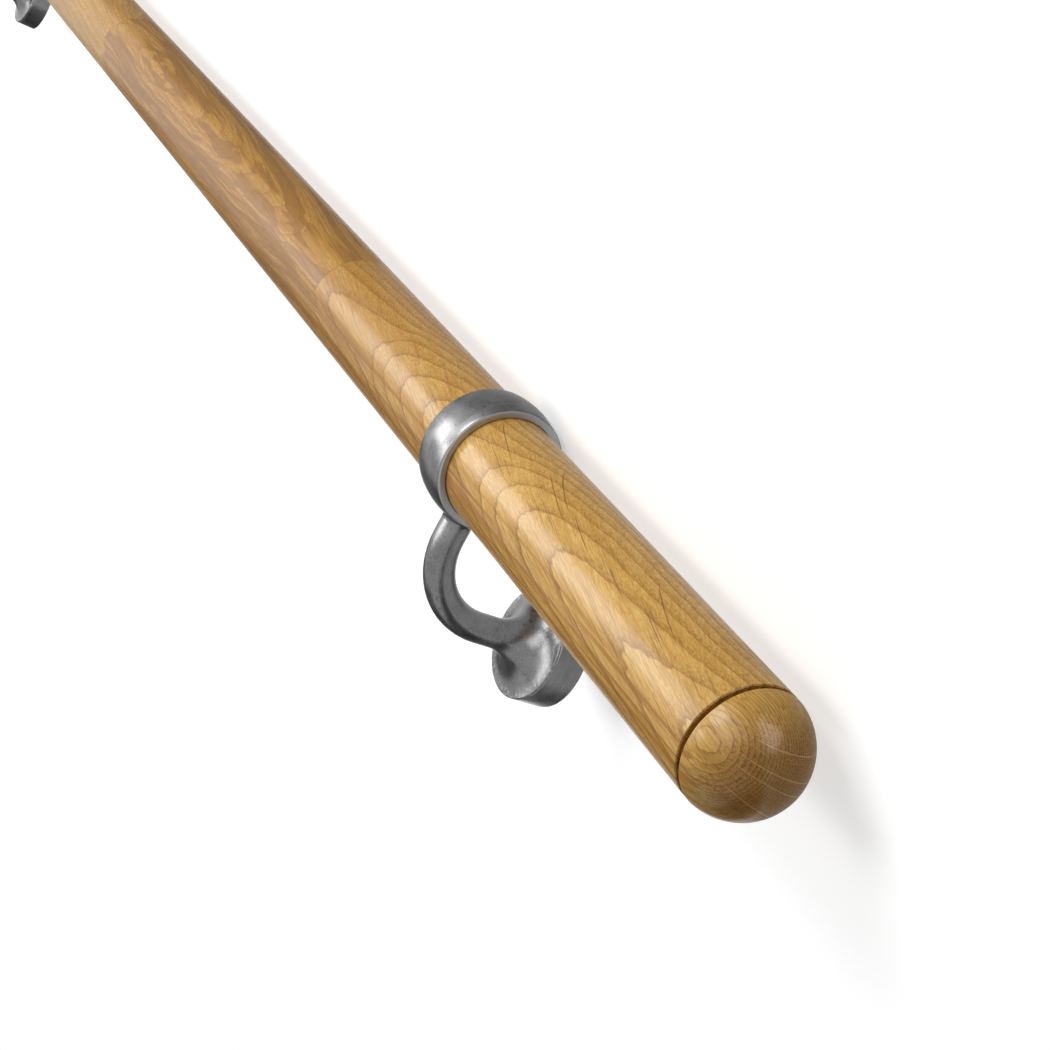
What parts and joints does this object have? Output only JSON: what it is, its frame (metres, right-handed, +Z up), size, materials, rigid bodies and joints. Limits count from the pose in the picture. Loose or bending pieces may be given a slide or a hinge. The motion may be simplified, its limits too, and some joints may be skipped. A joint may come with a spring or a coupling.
{
  "type": "stair handrail length",
  "caption": "Round oak stair handrail with domed turned end caps, carried by ring brackets with a bent arm, a bell foot and a round wall rose in satin metal.",
  "frame": {"origin": "centre of the bottom of the bounding box, on the floor that the handrail lies on", "axes": "+X along the rail, away from the end in the picture; +Y from the rail to the wall roses; +Z up"},
  "size_m": [1.544, 0.1426, 0.0631],
  "materials": {
    "oak": "satin lacquer",
    "satin_metal": "satin"
  },
  "bodies": {
    "root": {"rail": "oak", "end_cap_near": "oak", "end_cap_far": "oak", "bracket_near": "satin_metal", "bracket_far": "satin_metal", "wall_rose_near": "satin_metal", "wall_rose_far": "satin_metal"}
  },
  "joints": []
}
